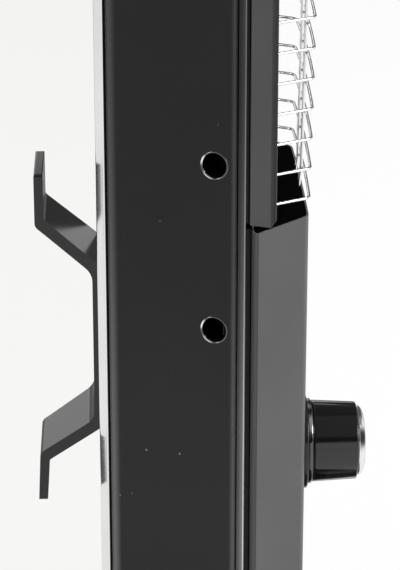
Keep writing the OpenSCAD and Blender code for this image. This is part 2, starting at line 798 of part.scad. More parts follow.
// Side frames: folded sheets whose ends are cut off at a slant at the front
module side_frame() {
    difference() {
        translate([0, 0, frame_z0]) linear_extrude(frame_z1 - frame_z0) polygon(sheet(frame_path, frame_t));
        translate([frame_half_w - 5, 0, 0]) across(40)
            for (e = [[frame_z0, 1], [frame_z1, -1]])
                polygon([
                    [-frame_front_y - 1, e[0] - e[1]], [-frame_front_y + chamfer_d, e[0] - e[1]],
                    [-frame_front_y + chamfer_d, e[0]], [-frame_front_y, e[0] + e[1] * chamfer_h],
                    [-frame_front_y - 1, e[0] + e[1] * chamfer_h]
                ]);
    }
}

module side_frame_right() {
    color("#3a3a3c") side_frame();
}

module side_frame_left() {
    color("#3a3a3c") mirror([1, 0, 0]) side_frame();
}

module lower_cover() {
    color("#4b4b4d")
    difference() {
        translate([0, 0, tower_z0]) linear_extrude(lower_cover_h) polygon(sheet(cover_path, cover_t));
        forwards(face_y - 6, knob_z) cylinder(r = bushing_r + 0.3, h = 12);
    }
}

module upper_cover() {
    color("#4b4b4d")
    translate([0, 0, guard_top]) linear_extrude(upper_cover_h) polygon(sheet(cover_path, cover_t));
}

// A sill closes a cover towards the guard and holds the ends of the guard's rods
module sill(z) {
    difference() {
        translate([0, 0, z]) linear_extrude(sill_t) polygon(sill_loop);
        for (p = uprights) translate([p[0], p[1], z - 1]) cylinder(r = upright_r + 0.3, h = sill_t + 2);
        for (p = side_bars) translate([p[0], p[1], z - 1]) cylinder(r = bar_r + 0.3, h = sill_t + 2);
    }
}

module lower_sill() {
    color("#0d0d0d") sill(cover_top - sill_drop - sill_t);
}

module upper_sill() {
    color("#0d0d0d") sill(guard_top + sill_drop);
}

// Top cap over the housing, the rear cover and the upper front cover
module top_cap() {
    rim = 5;
    edge = 4;
    outline = concat(
        [[crown_half_w + 2, crown_y + 0.3], [-crown_half_w - 2, crown_y + 0.3]],
        [[-rear_half_w - 1, rear_y - 1], [-cover_half_w - 0.5, -lip_y - 2], [-face_half_w - 1, -face_y - 0.5]],
        [[0, -face_y - face_bow - 0.5]],
        [[face_half_w + 1, -face_y - 0.5], [cover_half_w + 0.5, -lip_y - 2], [rear_half_w + 1, rear_y - 1]]);
    color("#1b1b1d")
    union() {
        translate([0, 0, tower_z1 + weld]) hull() {
            linear_extrude(cap_h - rim) polygon(outline);
            linear_extrude(cap_h - 1.5) polygon(inset(outline, edge / 3));
            linear_extrude(cap_h) polygon(inset(outline, edge));
        }
        translate([0, 0, tower_z1 - 10]) linear_extrude(10 + 1)
            polygon([
                [-side_x(12) + 3, -12], [side_x(12) - 3, -12],
                [side_x(-34) - 3, 34], [-side_x(-34) + 3, 34]
            ]);
    }
}

// Reflector and lamps
module reflector() {
    color("#e6e6e8")
    translate([0, 0, reflector_z0]) linear_extrude(reflector_z1 - reflector_z0)
        polygon(sheet(reflector_path, reflector_t));
}

module lamp_plate(z) {
    difference() {
        translate([0, 0, z]) linear_extrude(lamp_plate_t) polygon(lamp_plate_loop);
        for (s = [-1, 1]) translate([s * lamp_gap / 2, -lamp_y, z])
            cube([lamp_end_w + 0.4, lamp_end_d + 0.4, 4 * lamp_plate_t], center = true);
    }
}

module lamp_plate_lower() {
    color("#cfcfd2") lamp_plate(lamp_plate_z0);
}

module lamp_plate_upper() {
    color("#cfcfd2") lamp_plate(lamp_plate_z1);
}

module quartz_tubes() {
    color("#f2e9e0")
    for (s = [-1, 1]) translate([s * lamp_gap / 2, -lamp_y, tube_z0 - tube_seat])
        difference() {
            cylinder(r = tube_r, h = tube_z1 - tube_z0 + 2 * tube_seat);
            translate([0, 0, -1]) cylinder(r = tube_r - tube_wall, h = tube_z1 - tube_z0 + 2 * tube_seat + 2);
        }
}

// A carbon filament is a flat strip held by a lead at each end
module carbon_filaments() {
    strip_w = 5;
    strip_t = 1;
    lead_r = 0.8;
    lead_len = 14;
    color("#3b3532")
    for (s = [-1, 1]) translate([s * lamp_gap / 2, -lamp_y, 0]) {
        translate([-strip_w / 2, -strip_t / 2, tube_z0 + lead_len])
            cube([strip_w, strip_t, tube_z1 - tube_z0 - 2 * lead_len]);
        for (z = [tube_z0 - tube_seat, tube_z1 - lead_len - 1]) translate([0, 0, z])
            cylinder(r = lead_r, h = lead_len + tube_seat + 1);
    }
}

module lamp_end() {
    difference() {
        translate([-lamp_end_w / 2, -lamp_end_d / 2, 0]) cube([lamp_end_w, lamp_end_d, lamp_end_len]);
        translate([0, 0, lamp_end_len - tube_seat - fit]) intersection() {
            cylinder(r = tube_r + fit, h = tube_seat + 1);
            cube([3 * tube_r, 3 * tube_r, 3 * tube_seat], center = true);
        }
    }
}

module lamp_ends() {
    color("#f3f1ea")
    for (s = [-1, 1]) translate([s * lamp_gap / 2, -lamp_y, 0]) {
        translate([0, 0, tube_z0 - lamp_end_len]) lamp_end();
        translate([0, 0, tube_z1 + lamp_end_len]) mirror([0, 0, 1]) lamp_end();
    }
}

// Leads from the lower lamp ends down to the terminal block, in one upright plane
lead_r = 1.3;
lead_bend_r = 8;
lead_run = 90;
lead_slant = 40;
lead_x = 10;
block_z = tower_z0 + 50;
block_h = 16;
block_d = 14;
block_w = 44;
module lamp_leads() {
    top = tube_z0 - lamp_end_len - weld;
    color("#c8c4b8")
    for (s = [0, 1]) mirror([s, 0, 0]) translate([0, -lamp_y, 0]) rotate([90, 0, 0])
        bent_rod(
            [
                [lamp_gap / 2, top], [lamp_gap / 2, top - lead_run], [lead_x, top - lead_run - lead_slant],
                [lead_x, block_z + block_h + weld]
            ],
            lead_r, lead_bend_r);
}

module terminal_block() {
    color("#e9e6dc")
    difference() {
        translate([-block_w / 2, -chassis_rear_y + fit, block_z]) cube([block_w, block_d, block_h]);
        for (x = [-15:10:15]) translate([x, -chassis_rear_y + block_d + 1, block_z + block_h / 2])
            rotate([90, 0, 0]) cylinder(r = 2.6, h = 6);
    }
}

module thermal_cutout() {
    color("#b8b8bc")
    backwards(reflector_back + fit, cover_top + 40) {
        cylinder(r = 8, h = 5);
        translate([0, 0, 4.5]) cylinder(r = 5, h = 5);
        translate([-14, -4, 0]) cube([28, 8, 0.8]);
    }
}

// Wire guard
module guard_rows() {
    color("#dcdcde")
    for (k = [0:wire_count - 1]) {
        z = cover_top + first_wire + k * wire_pitch;
        translate([0, -bow(z), z]) bent_rod(wire_path, wire_r, wire_bend_r, $fn = 24);
    }
}

module guard_uprights() {
    color("#dcdcde")
    for (p = uprights) bowed_rod(p, upright_r);
}

module guard_side_bars() {
    color("#c4c4c8")
    for (p = side_bars) bowed_rod(p, bar_r);
}

// Rotary switch behind the lower cover
module switch_body() {
    color("#e4e0d6")
    difference() {
        union() {
            translate([-switch_w / 2, -switch_front, knob_z - switch_w / 2]) cube([switch_w, switch_d, switch_w]);
            forwards(switch_front - 1, knob_z) cylinder(r = bushing_r, h = bushing_end - switch_front + 1);
            for (x = [-10, 0, 10]) translate([x - 3, switch_d - switch_front - 1, knob_z + 4]) cube([6, 8.2, 0.8]);
        }
        forwards(switch_front - 14, knob_z) cylinder(r = shaft_r + running, h = 30);
    }
}

module switch_nut() {
    color("#c9a24a")
    forwards(face_front_y + 0.15, knob_z)
        difference() {
            cylinder(r = bushing_r + 3.4, h = 2.6, $fn = 6);
            translate([0, 0, -1]) cylinder(r = bushing_r + running, h = 5);
        }
}

module dial_ring() {
    wall = 2.5;
    color("#1e1e20")
    forwards(dial_rear, knob_z)
        rotate_extrude($fn = 96)
            polygon([
                [dial_r, 0], [dial_r, dial_h - 1.2], [dial_r - 0.4, dial_h - 0.4], [dial_r - 1.2, dial_h],
                [bushing_r + 4, dial_h], [bushing_r + 4, dial_h - wall], [dial_r - wall, dial_h - wall],
                [dial_r - wall, 0]
            ]);
}

module switch_shaft() {
    color("#bdbdbf")
    forwards(switch_front - 12, knob_z) cylinder(r = shaft_r, h = shaft_end - switch_front + 12);
}

module knob() {
    edge = 1.6;
    slope = (knob_r - knob_front_r) / knob_h;
    color("#151516")
    forwards(knob_rear, knob_z)
        difference() {
            rotate_extrude($fn = 96)
                polygon(concat(
                    [
                        [shaft_r + running, hub_rear], [shaft_r + running, shaft_end - knob_rear + fit],
                        [0, shaft_end - knob_rear + fit], [0, knob_h]
                    ],
                    corner([0, knob_h], [knob_front_r, knob_h], [knob_r, 0], edge, 6),
                    [
                        [knob_r, 0], [knob_r - knob_wall, 0],
                        [knob_front_r - knob_wall - slope, knob_h - 3.6],
                        [knob_hub_r, knob_h - 3.6], [knob_hub_r, hub_rear]
                    ]));
            translate([-0.8, knob_front_r - 0.2, 4]) cube([1.6, 4, knob_h]);
        }
}

module knob_cap() {
    color("#e0e0e2")
    forwards(knob_rear + knob_h + weld, knob_z)
        rotate_extrude($fn = 96)
            polygon(rounded_loop(
                [
                    [0, 0], [knob_front_r - 1.7, 0], [knob_front_r - 1.7, knob_cap_h],
                    [9, knob_cap_h], [8, knob_cap_h - 1.2], [0, knob_cap_h - 1.2]
                ],
                [0, 0.4, 2.2, 0.5, 0.5, 0]));
}

base_cover();
base_plate();
base_weight();
base_feet();
base_screws();
tip_switch();
tip_plunger();
tip_spring();
tower_foot();
foot_screws();
housing_shell();
side_bushes();
rear_cover();
rear_spacers();
rear_screws();
cord_bush();
cord_bracket();
bracket_screws();
front_chassis();
side_frame_left();
side_frame_right();
lower_cover();
lower_sill();
upper_cover();
upper_sill();
top_cap();
reflector();
lamp_plate_lower();
lamp_plate_upper();
quartz_tubes();
carbon_filaments();
lamp_ends();
lamp_leads();
thermal_cutout();
terminal_block();
guard_rows();
guard_uprights();
guard_side_bars();
switch_body();
switch_nut();
dial_ring();
switch_shaft();
knob();
knob_cap();
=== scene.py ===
"""Looks of a tower heater: painted steel housing, wire guard over two quartz lamps, cord bracket, knob and base."""

import json
import math

import bmesh
import bpy
import numpy as np
from mathutils import Matrix, Vector


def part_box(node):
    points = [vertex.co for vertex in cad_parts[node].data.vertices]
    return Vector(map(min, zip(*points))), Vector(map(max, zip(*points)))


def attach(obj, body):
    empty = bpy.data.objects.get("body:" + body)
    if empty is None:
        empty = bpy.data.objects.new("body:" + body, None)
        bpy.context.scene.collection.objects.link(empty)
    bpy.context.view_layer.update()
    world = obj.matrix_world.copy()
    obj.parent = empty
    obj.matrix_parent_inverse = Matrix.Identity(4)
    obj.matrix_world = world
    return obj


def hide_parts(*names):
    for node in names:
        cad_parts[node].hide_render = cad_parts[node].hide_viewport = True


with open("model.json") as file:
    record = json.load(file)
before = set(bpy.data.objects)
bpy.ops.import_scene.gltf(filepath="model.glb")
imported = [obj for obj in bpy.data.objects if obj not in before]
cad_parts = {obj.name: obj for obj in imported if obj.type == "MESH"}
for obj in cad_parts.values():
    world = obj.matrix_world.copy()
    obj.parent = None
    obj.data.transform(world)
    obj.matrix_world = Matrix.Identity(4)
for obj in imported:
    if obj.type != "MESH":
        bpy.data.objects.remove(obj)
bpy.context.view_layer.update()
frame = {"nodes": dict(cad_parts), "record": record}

MM = 0.001


# Measures: the front is at -Y and the photographed side at -X ------------------

COVER_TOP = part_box("lower_cover")[1].z
GUARD_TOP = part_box("upper_cover")[0].z
GUARD_MID = (COVER_TOP + GUARD_TOP) / 2
KNOB_Z = (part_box("knob")[0].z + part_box("knob")[1].z) / 2
KNOB_FRONT = -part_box("knob")[0].y
HOUSING_Z0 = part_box("housing_shell")[0].z
HOUSING_Z1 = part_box("housing_shell")[1].z

WIRE_R = 0.7 * MM
WIRE_SIDES = 10
WIRE_PITCH = 14.2 * MM
FIRST_WIRE = 8.8 * MM  # from a cover's edge to the nearest wire
WIRE_BEND_R = 4 * MM
BEND_STEPS = 8
UPRIGHT_R = 0.8 * MM
UPRIGHT_X = 10.5 * MM
BAR_R = 1.2 * MM
SIDE_BAR_Y = 28.6 * MM
WELD_GAP = 0.02 * MM
GUARD_Y = 51 * MM  # from the centre forward to the wires' corners
GUARD_HALF_W = 53.5 * MM
GUARD_BOW = 2.4 * MM  # of the whole guard, over its height
FRONT_BOW = 1.0 * MM  # of each wire, over its width
LEG_ANGLE = math.radians(28.6)
LEG_END_Y = 27 * MM


# Shader maths ------------------------------------------------------------------

class Value:
    """A number that changes over a surface; Python's operators add its Math nodes."""

    def __init__(self, nodes, socket):
        self.nodes = nodes
        self.socket = socket

    def maths(self, operation, first, second):
        """One Math node on two numbers, either of which may be constant."""
        return self.nodes.node("ShaderNodeMath", {"operation": operation}, {0: first, 1: second})

    def __add__(self, other):
        return self.maths("ADD", self, other)

    def __mul__(self, other):
        return self.maths("MULTIPLY", self, other)

    def __sub__(self, other):
        return self.maths("SUBTRACT", self, other)

    def __rsub__(self, other):
        return self.maths("SUBTRACT", other, self)

    __radd__ = __add__
    __rmul__ = __mul__

    def ramp(self, low, high, start=0.0, end=1.0):
        """start up to low, end from high on, and a smooth change between them; low may also be the greater."""
        inputs = {"Value": self, "From Min": low, "From Max": high, "To Min": start, "To Max": end}
        return self.nodes.node("ShaderNodeMapRange", {"interpolation_type": "SMOOTHSTEP"}, inputs)


class Nodes:
    """A node tree that is written as expressions."""

    def __init__(self, tree):
        self.tree = tree

    def node(self, kind, settings=None, inputs=None, output=0):
        """Any node: its settings first, then its sockets' values or links; gives back one output."""
        made = self.tree.nodes.new(kind)
        for key, value in (settings or {}).items():
            setattr(made, key, value)
        for key, value in (inputs or {}).items():
            self.fill(made.inputs[key], value)
        return Value(self, made.outputs[output]) if made.outputs else None

    def fill(self, socket, value):
        """Links a socket to a number or colour that changes, or sets it to one that doesn't."""
        if isinstance(value, Value):
            self.tree.links.new(value.socket, socket)
        else:
            socket.default_value = value

    def any_ray(self, *kinds):
        """1 for the named kinds of ray, such as Is Camera Ray, and 0 for the rest."""
        rays = [self.node("ShaderNodeLightPath", output=kind) for kind in kinds]
        seen = rays[0]
        for ray in rays[1:]:
            seen = seen.maths("MAXIMUM", seen, ray)
        return seen

    def mixed(self, mask, first, second):
        """The first colour where the mask is 0 and the second where it is 1."""
        inputs = {0: mask, 6: first, 7: second}
        return self.node("ShaderNodeMix", {"data_type": "RGBA"}, inputs, output=2)

    def scaled(self, colour, factor):
        """A colour times a number that changes over the surface."""
        return self.node("ShaderNodeVectorMath", {"operation": "SCALE"}, {0: colour, "Scale": factor})

    def towards(self, place, azimuth, low, high):
        """1 in one level direction from the middle and 0 away from it, by the cosine of the angle between them."""
        level = self.node("ShaderNodeVectorMath", {"operation": "MULTIPLY"}, {0: place, 1: (1, 1, 0)})
        level = self.node("ShaderNodeVectorMath", {"operation": "NORMALIZE"}, {0: level})
        way = (math.cos(math.radians(azimuth)), math.sin(math.radians(azimuth)), 0)
        cosine = self.node("ShaderNodeVectorMath", {"operation": "DOT_PRODUCT"}, {0: level, 1: way}, output="Value")
        return cosine.ramp(low, high)


MIDDLE = (0.3, 0.7)  # the part of a noise's range that holds most of it


def shade(colour, factor=1.0):
    """A colour times a number, opaque."""
    return (*(min(c * factor, 1.0) for c in colour), 1.0)


def grey(tone):
    """An opaque grey."""
    return (tone, tone, tone, 1.0)


class Finish(Nodes):
    """A procedural material on one Principled shader."""

    def __init__(self, name, slot, **constants):
        self.slot = slot
        self.material = bpy.data.materials.new(name)
        self.material.use_nodes = True
        super().__init__(self.material.node_tree)
        self.shader = self.tree.nodes["Principled BSDF"]
        self.place = self.node("ShaderNodeTexCoord", output="Object")
        self.set(**constants)

    def set(self, **sockets):
        """Fills the shader's sockets; an underscore stands for a space in a socket's name."""
        for key, value in sockets.items():
            self.fill(self.shader.inputs[key.replace("_", " ")], value)
        return self

    def stretched(self, scale):
        """Object coordinates scaled along each axis."""
        return self.node("ShaderNodeMapping", {"vector_type": "POINT"}, {"Vector": self.place, "Scale": scale})

    def noise(self, scale, detail=2.0, rough=0.5, place=None):
        """Cloudy noise from 0 to 1, mostly near its middle."""
        inputs = {"Vector": place or self.place, "Scale": scale, "Detail": detail, "Roughness": rough}
        return self.node("ShaderNodeTexNoise", {"noise_dimensions": "3D"}, inputs)

    def bands(self, direction, scale, distortion):
        """Waves of light and dark along an axis or a diagonal."""
        settings = {"wave_type": "BANDS", "bands_direction": direction}
        inputs = {"Vector": self.place, "Scale": scale, "Distortion": distortion}
        return self.node("ShaderNodeTexWave", settings, inputs, output="Fac")

    def specks(self, scale, size, patches, share):
        """1 on round specks at scattered points, in patches only; size and share say where a speck and a patch end."""
        inputs = {"Vector": self.place, "Scale": scale}
        gap = self.node("ShaderNodeTexVoronoi", {"feature": "F1"}, inputs, output="Distance")
        return gap.ramp(*size, 1.0, 0.0) * self.noise(patches, 1.0).ramp(*share)

    def clouded(self, cloud, colour, dark, light):
        """A colour that drifts between two strengths with a cloud."""
        return self.mixed(cloud.ramp(*MIDDLE), shade(colour, dark), shade(colour, light))

    def mark(self):
        """The number that a piece carries at each of its points."""
        return self.node("ShaderNodeAttribute", {"attribute_name": "mark"}, output="Fac")

    def along(self, axis):
        """The place along one of the object's axes, in metres."""
        return self.node("ShaderNodeSeparateXYZ", inputs={0: self.place}, output=axis)

    def bump(self, height, distance, strength=1.0):
        """Relief of a height from 0 to 1 times a distance in metres."""
        inputs = {"Height": height, "Distance": distance, "Strength": strength}
        return self.set(Normal=self.node("ShaderNodeBump", {}, inputs))


# Finishes ----------------------------------------------------------------------

DUST = (0.5, 0.5, 0.48, 1.0)
# Heights between which painted light and shade change
PAINTED_LIGHT_HEIGHTS = (150 * MM, 410 * MM)


def painted(name, slot, colour, rough, specular, dust=0.0, painted_light_bands=(), painted_height_light=None):
    """Sprayed paint: orange peel, cloudy gloss and specks of pale dust.

    The bands in mm along Y, (start, end, tone), are painted highlights and painted shade: the paint turns to that grey
    between them and keeps it past end.
    The pair for height is painted light and shade: what the colour is multiplied by at the lower and at the upper of
    the two heights.
    """
    made = Finish(name, slot, Specular_IOR_Level=specular)
    tone = made.clouded(made.noise(9.0, 3.0, 0.6), colour, 0.9, 1.1)
    speck = made.specks(150.0, (0.045, 0.075), 31.0, (0.62, 0.68))
    if dust:
        tone = made.mixed(speck * dust, tone, DUST)
    # Painted highlights and painted shade in bands along Y
    for start, end, other in painted_light_bands:
        tone = made.mixed(made.along("Y").ramp(end * MM, start * MM, 1.0, 0.0), tone, grey(other))
    # Painted light and shade that change with height
    if painted_height_light:
        tone = made.scaled(tone, made.along("Z").ramp(*PAINTED_LIGHT_HEIGHTS, *painted_height_light))
    gloss = made.noise(26.0, 2.0).ramp(*MIDDLE, rough - 0.03, rough + 0.04)
    made.set(Base_Color=tone, Roughness=gloss + speck * 0.2)
    return made.bump(made.noise(620.0, 2.0, 0.55), 0.07 * MM, 0.35)


def moulded(name, slot, colour, rough, specular=0.5, texture=0.0, scratches=0.0, coat=0.0):
    """Moulded plastic: a fine sparked texture, its height in mm, or gloss with hairline scratches."""
    made = Finish(name, slot, Specular_IOR_Level=specular)
    cloud = made.noise(14.0, 2.0)
    gloss = cloud.ramp(*MIDDLE, rough - 0.02, rough + 0.03)
    if scratches:
        hair = made.noise(240.0, 2.0, 0.6, made.stretched((1.0, 0.25, 6.0)))
        gloss = gloss + hair.ramp(0.64, 0.7) * scratches
    made.set(Base_Color=made.clouded(cloud, colour, 0.88, 1.12), Roughness=gloss)
    if coat:
        made.set(Coat_Weight=coat, Coat_Roughness=0.05)
    if texture:
        made.bump(made.noise(1900.0, 1.0, 0.5), texture * MM, 0.6)
    return made


def metal(name, slot, colour, rough, brushed=None, waves=0.0, spots=0.0, highlight_colour=None):
    """Bare or plated metal: brushed along an axis, a little wavy, with faint spots or with painted highlights of a
    paler colour where it is marked.
    """
    made = Finish(name, slot, Metallic=1.0)
    cloud = made.noise(18.0, 3.0, 0.6)
    lines = made.noise(60.0, 3.0, 0.6, made.stretched(brushed)) if brushed else made.noise(300.0, 2.0)
    # Painted highlights: the paler colour where the piece is marked
    if highlight_colour:
        tone = made.mixed(made.mark(), shade(colour), shade(highlight_colour))
    else:
        tone = made.clouded(cloud, colour, 0.94, 1.03)
    if spots:
        spot = made.specks(260.0, (0.06, 0.12), 40.0, (0.58, 0.64))
        tone = made.mixed(spot * spots, tone, shade(colour, 0.45))
    made.set(Base_Color=tone, Roughness=lines.ramp(0.25, 0.75, rough * 0.75, rough * 1.3) + cloud * 0.02)
    if waves:
        made.bump(cloud + lines * 0.1, waves * MM, 0.5)
    return made


def dark_patched_metal(name, slot, colour, rough, patch_colour):
    """Plated metal that turns matt and dark where it is marked."""
    made = Finish(name, slot, Specular_IOR_Level=0.15)
    mark = made.mark()
    made.set(Base_Color=made.mixed(mark, shade(colour), shade(patch_colour)))
    return made.set(Metallic=1 - mark, Roughness=rough + mark * 0.4)


def wire_plating():
    """Bright plating on steel wire, stained straw and grey where the wires are welded."""
    made = Finish("guard_plating", "guard_chrome", Metallic=1.0)
    weld = made.mark()
    stain = weld * made.noise(900.0, 2.0).ramp(0.35, 0.65, 0.1, 0.4)
    clean = made.mixed(made.noise(60.0, 2.0).ramp(*MIDDLE), (0.8, 0.8, 0.81, 1), (0.88, 0.88, 0.89, 1))
    made.set(Base_Color=made.mixed(stain, clean, (0.45, 0.43, 0.4, 1)))
    made.set(Roughness=made.noise(500.0, 2.0).ramp(*MIDDLE, 0.06, 0.12) + weld * 0.12)
    return made.bump(made.noise(1500.0, 2.0), 0.03 * MM, 0.5)


def cast_iron():
    """Rough iron with rusty patches."""
    made = Finish("cast_iron", "weight_iron", Metallic=0.6)
    grit = made.noise(700.0, 4.0, 0.7)
    rust = made.noise(24.0, 3.0).ramp(0.45, 0.6)
    made.set(Base_Color=made.mixed(rust, grey(0.07), (0.13, 0.09, 0.07, 1)))
    return made.set(Roughness=grit.ramp(0.2, 0.8, 0.5, 0.8)).bump(grit, 0.4 * MM, 0.6)


def rubber():
    """Matt rubber with a pale bloom."""
    made = Finish("foot_rubber", "foot_rubber", Specular_IOR_Level=0.3)
    bloom = made.noise(55.0, 3.0)
    made.set(Base_Color=made.mixed(bloom.ramp(0.35, 0.7), grey(0.014), grey(0.04)))
    made.set(Roughness=bloom.ramp(*MIDDLE, 0.62, 0.8))
    return made.bump(made.noise(1100.0, 2.0), 0.08 * MM, 0.6)


def gap_shade_black():
    """A black bead, painted shade of the gap between the rear cover and the housing."""
    made = Finish("gap_shade_black", "foot_rubber", Specular_IOR_Level=0.15)
    return made.set(Base_Color=made.mixed(made.noise(200.0), grey(0.002), grey(0.005)), Roughness=0.75)


def ceramic():
    """Unglazed pale ceramic with brown flecks."""
    made = Finish("steatite", "ceramic", Specular_IOR_Level=0.45)
    fleck = made.specks(600.0, (0.05, 0.12), 120.0, (0.55, 0.6))
    tone = made.mixed(made.noise(30.0, 3.0).ramp(*MIDDLE), (0.83, 0.81, 0.76, 1), (0.89, 0.87, 0.82, 1))
    made.set(Base_Color=made.mixed(fleck, tone, (0.5, 0.44, 0.36, 1)))
    made.set(Roughness=made.noise(80.0, 2.0).ramp(*MIDDLE, 0.36, 0.5))
    return made.bump(made.noise(900.0, 3.0), 0.06 * MM, 0.5)


def quartz():
    """Clear quartz tube with a faint haze that is drawn out along it."""
    made = Finish("quartz", "quartz_glass", Transmission_Weight=1.0, IOR=1.46)
    haze = made.noise(40.0, 3.0, place=made.stretched((3.0, 3.0, 0.4)))
    made.set(Base_Color=made.mixed(haze.ramp(0.3, 0.8), (0.97, 0.97, 0.96, 1), (0.9, 0.89, 0.86, 1)))
    return made.set(Roughness=haze.ramp(0.4, 0.8, 0.015, 0.12))


def carbon():
    """Woven carbon strip: fine bands across and along it."""
    made = Finish("carbon_strip", "carbon", Specular_IOR_Level=0.4)
    across, along = made.bands("Z", 520.0, 0.4), made.bands("X", 700.0, 0.3)
    made.set(Base_Color=made.mixed(across * along, (0.012, 0.011, 0.011, 1), (0.075, 0.07, 0.066, 1)))
    return made.set(Roughness=across.ramp(0.2, 0.8, 0.4, 0.65)).bump(across + along, 0.1 * MM, 0.8)


def sleeve():
    """Braided sleeve: diagonal bands."""
    made = Finish("braided_sleeve", "lead_sleeve", Specular_IOR_Level=0.25)
    braid = made.bands("DIAGONAL", 640.0, 0.2)
    made.set(Base_Color=made.mixed(braid, (0.5, 0.47, 0.4, 1), (0.78, 0.75, 0.68, 1)))
    return made.set(Roughness=braid.ramp(0.2, 0.8, 0.6, 0.8)).bump(braid, 0.15 * MM, 0.7)


# Painted highlights make the front corner of the sides paler, and the rear one with its edge too; painted light and
# shade make the sides paler towards the bottom and darker towards the top.
HOUSING = painted("housing_paint", "black_panel", (0.006, 0.006, 0.0063), 0.26, 0.25, dust=0.35,
                  painted_light_bands=((-13.8, -17.2, 0.09), (36.8, 40.2, 0.05), (41.0, 41.8, 0.1)), painted_height_light=(1.9, 0.85))
# Painted shade: the lip that meets the front plate is darker, with its last edge between the two.
COVER = painted("cover_paint", "cover_paint", (0.07, 0.07, 0.07), 0.36, 0.5, dust=0.1,
                painted_light_bands=((-26.8, -26.5, 0.02), (-26.3, -26.0, 0.045)))
# Painted shade: the frame's front edge is dark, in two steps.
FRAME = painted("frame_paint", "frame_paint", (0.054, 0.054, 0.055), 0.4, 0.4,
                painted_light_bands=((-31.4, -32.4, 0.02), (-32.6, -33.6, 0.008)))
# A painted highlight: the strip turns paler towards its front edge, which is bright, and painted shade makes it black
# past that; painted light and shade make it paler towards the bottom and darker towards the top.
CHASSIS = painted("chassis_paint", "chassis_paint", (0.03, 0.03, 0.031), 0.3, 0.2,
                  painted_light_bands=((-17.8, -20.4, 0.09), (-20.1, -20.6, 0.4), (-20.9, -21.3, 0.003)), painted_height_light=(2.1, 0.4))
BASE = moulded("base_shell", "base_shell", (0.016, 0.016, 0.017), 0.3, texture=0.05, coat=0.15)
MATT_BLACK = moulded("matt_moulding", "black_moulding", (0.016, 0.016, 0.017), 0.48, 0.4, texture=0.08)
# Black mouldings, darkened further and without gloss: painted shade in the side holes and on the sills
INNER_BLACK_SHADE = moulded("inner_black_shade", "black_moulding", (0.003, 0.003, 0.003), 0.7, 0.0, texture=0.08)
BRACKET = moulded("bracket_moulding", "gloss_moulding", (0.006, 0.006, 0.0065), 0.14, 0.5, scratches=0.06)
DIAL = moulded("dial_moulding", "gloss_moulding", (0.012, 0.012, 0.013), 0.2, 0.5, scratches=0.06)
KNOB = moulded("knob_gloss", "knob_gloss", (0.005, 0.005, 0.0055), 0.13, 0.5, scratches=0.05, coat=0.3)
PALE = moulded("pale_moulding", "pale_plastic", (0.75, 0.72, 0.66), 0.4, texture=0.05)
REAR = metal("polished_cover", "polished_cover", (0.82, 0.83, 0.83), 0.09,
             brushed=(1.0, 1.0, 0.02), waves=0.02, spots=0.2)
REFLECTOR = metal("reflector_aluminium", "reflector_aluminium", (0.88, 0.88, 0.89), 0.16,
                  brushed=(4.0, 4.0, 0.05), waves=0.15)
# Dark nickel with painted highlights where the eyelets and the dial's ring are marked
EYELET = metal("eyelet_nickel", "cap_chrome", (0.11, 0.11, 0.113), 0.08, highlight_colour=(0.9, 0.9, 0.9))
# Chrome with a dark matt patch where the cap is marked
CAP = dark_patched_metal("marked_chrome", "cap_chrome", (0.84, 0.84, 0.85), 0.07, patch_colour=(0.01, 0.01, 0.01))
ZINC = metal("zinc_steel", "plain_steel", (0.5, 0.5, 0.5), 0.34, waves=0.05, spots=0.4)
SCREW = metal("screw_steel", "screw_steel", (0.55, 0.55, 0.55), 0.26, spots=0.3)
DARK_SCREW = metal("dark_screw", "screw_steel", (0.12, 0.12, 0.125), 0.3, spots=0.3)
BRASS = metal("nut_brass", "nut_brass", (0.7, 0.53, 0.25), 0.28, spots=0.4)
WIRE = wire_plating()
IRON = cast_iron()
RUBBER = rubber()
GAP_SHADE = gap_shade_black()
CERAMIC = ceramic()
QUARTZ = quartz()
CARBON = carbon()
SLEEVE = sleeve()


# Mesh making -------------------------------------------------------------------

MERGE_GAP = 0.002 * MM
SLIVER = 0.001 * MM
FLAT_ANGLE = math.radians(0.4)
EDGE_ANGLE = math.radians(32)


def linked(name, data):
    """A new object of the scene, at the origin."""
    made = bpy.data.objects.new(name, data)
    bpy.context.scene.collection.objects.link(made)
    return made


def finished(made, finish, body="heater", replaces=()):
    """Gives a piece its finish and the body it rides on."""
    made.data.materials.clear()
    made.data.materials.append(finish.material)
    if replaces:
        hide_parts(*replaces)
    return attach(made, body)


def softened(node, finish, width, segments=2, body="heater"):
    """A node's own shape with merged faces, edges rounded by width in mm and weighted normals."""
    data = frame["nodes"][node].data.copy()
    work = bmesh.new()
    work.from_mesh(data)
    bmesh.ops.remove_doubles(work, verts=work.verts, dist=MERGE_GAP)
    bmesh.ops.dissolve_degenerate(work, edges=work.edges, dist=SLIVER)
    bmesh.ops.dissolve_limit(work, angle_limit=FLAT_ANGLE, verts=work.verts, edges=work.edges)
    work.to_mesh(data)
    work.free()
    data.shade_smooth()
    made = linked(node + "_dressed", data)
    rounding = made.modifiers.new("edges", "BEVEL")
    rounding.width = width * MM
    rounding.segments = segments
    rounding.limit_method = "ANGLE"
    rounding.angle_limit = EDGE_ANGLE
    rounding.harden_normals = True
    made.modifiers.new("normals", "WEIGHTED_NORMAL").keep_sharp = True
    return finished(made, finish, body, (node,))


def quads(count, around, joined=False):
    """Corner numbers of the quads between count rings of around points; joined adds those from last to first."""
    i, j = np.meshgrid(np.arange(count if joined else count - 1), np.arange(around), indexing="ij")
    here, ahead, after = i * around, (i + 1) % count * around, (j + 1) % around
    return np.stack([here + j, here + after, ahead + after, ahead + j], -1).reshape(-1, 4)


